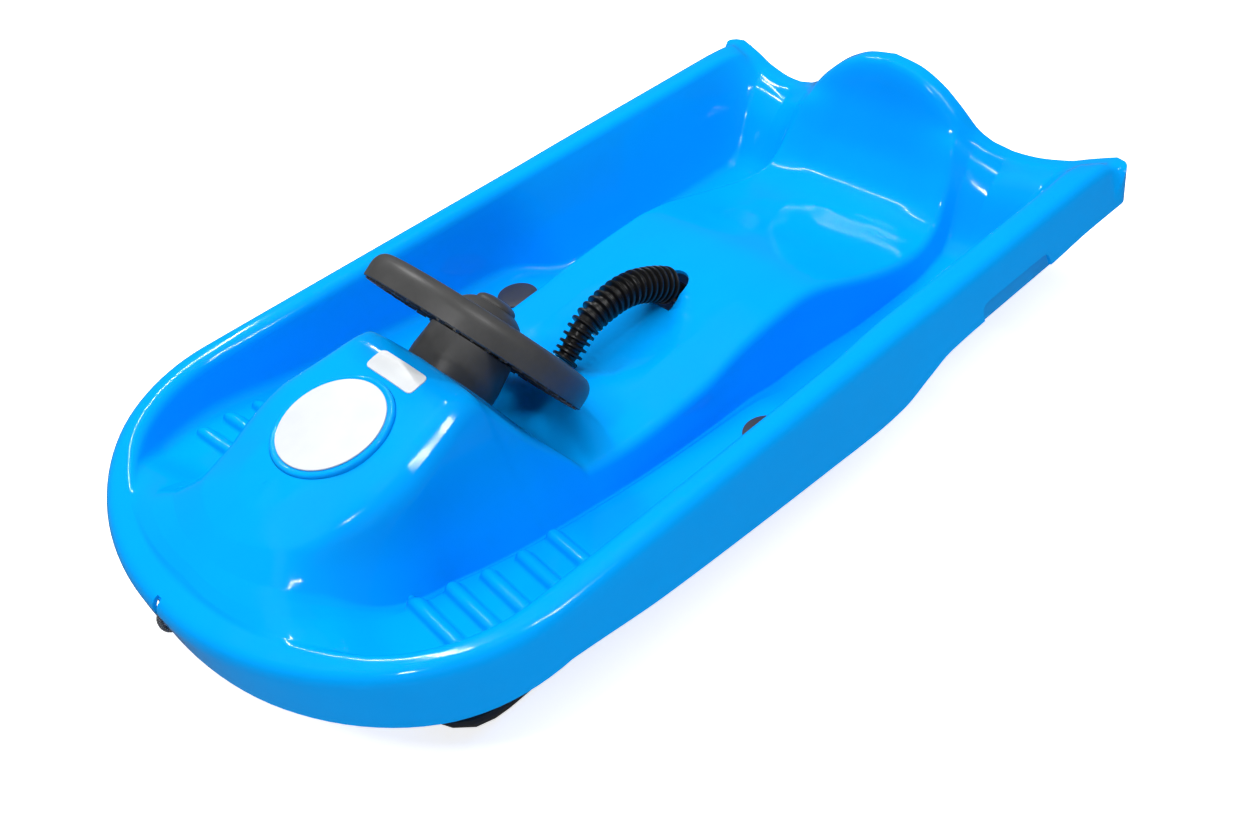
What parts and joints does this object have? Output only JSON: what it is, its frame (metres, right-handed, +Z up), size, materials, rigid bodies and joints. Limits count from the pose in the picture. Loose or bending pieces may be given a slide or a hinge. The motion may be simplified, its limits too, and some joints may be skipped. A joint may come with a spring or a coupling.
{
  "type": "sled",
  "caption": "Child's steering sled: moulded hull with footrests and a backrest, a wheel that turns front skis, a claw brake on a lever, and a pull cord on a spring reel",
  "frame": {"origin": "the middle of the base, on the snow, under the middle of the hull's length and width", "axes": "+Y to the rear, +X to the rider's left, +Z up"},
  "size_m": [0.54, 0.9672, 0.2791],
  "materials": {
    "blue_plastic": "glossy moulded polyethylene",
    "grey_plastic": "satin moulded polypropylene",
    "black_plastic": "satin moulded plastic",
    "white_plastic": "natural acetal",
    "label_white": "bare laminated label",
    "cord_braid": "braided polyester cord",
    "zinc_steel": "zinc-plated steel"
  },
  "bodies": {
    "hull": {"hull_shell": "blue_plastic", "reel_cover": "blue_plastic", "cover_label": "label_white", "data_label": "label_white", "column_sleeve": "grey_plastic", "axle_bush_upper": "white_plastic", "axle_bush_lower": "white_plastic", "floor_cap_left": "grey_plastic", "floor_cap_right": "grey_plastic", "pull_cord": "cord_braid", "pull_handle": "black_plastic", "reel_housing": "black_plastic", "reel_axle": "zinc_steel", "reel_spring": "zinc_steel", "kingpin_left": "zinc_steel", "kingpin_right": "zinc_steel", "kingpin_washer_left": "zinc_steel", "kingpin_washer_right": "zinc_steel", "brake_pin": "zinc_steel"},
    "steering": {"steering_wheel": "grey_plastic", "hub_cap": "grey_plastic", "axle_nut": "zinc_steel", "steering_axle": "zinc_steel", "axle_collar": "zinc_steel", "steering_crank": "zinc_steel"},
    "ski_left_turn": {"ski_left": "grey_plastic", "tie_pin_left": "zinc_steel"},
    "ski_right_turn": {"ski_right": "grey_plastic", "tie_pin_right": "zinc_steel"},
    "tie": {"tie_rod": "zinc_steel"},
    "brake": {"brake_lever": "black_plastic", "brake_claw": "zinc_steel", "claw_screw_0": "zinc_steel", "claw_screw_1": "zinc_steel"},
    "spool": {"reel_spool": "black_plastic", "cord_winding": "cord_braid"}
  },
  "joints": [
    {"name": "steering_turn", "type": "hinge", "parent": "hull", "child": "steering", "pos_m": [0, -0.1395, 0.1853], "axis": [0, 0.8387, 0.5446], "range_deg": [-25, 25]},
    {"name": "ski_left_pivot", "type": "hinge", "parent": "hull", "child": "ski_left_turn", "pos_m": [0.15, -0.2845, 0.04], "axis": [0, 0, 1], "range_deg": [-25, 25]},
    {"name": "ski_right_pivot", "type": "hinge", "parent": "hull", "child": "ski_right_turn", "pos_m": [-0.15, -0.2845, 0.04], "axis": [0, 0, 1], "range_deg": [-25, 25]},
    {"name": "tie_rod_pivot", "type": "hinge", "parent": "ski_left_turn", "child": "tie", "pos_m": [0.15, -0.2325, 0.05], "axis": [0, 0, 1], "range_deg": [-25, 25]},
    {"name": "brake_pivot", "type": "hinge", "parent": "hull", "child": "brake", "pos_m": [0, 0.1, 0.083], "axis": [-1, 0, 0], "range_deg": [0, 18]},
    {"name": "spool_turn", "type": "hinge", "parent": "hull", "child": "spool", "pos_m": [0, -0.2965, 0.188], "axis": [0, -0.1736, 0.9848], "continuous": true}
  ],
  "couplings": [
    {"joint": "ski_left_pivot", "follows": "steering_turn", "ratio": 1},
    {"joint": "ski_right_pivot", "follows": "steering_turn", "ratio": 1},
    {"joint": "tie_rod_pivot", "follows": "steering_turn", "ratio": -1}
  ]
}
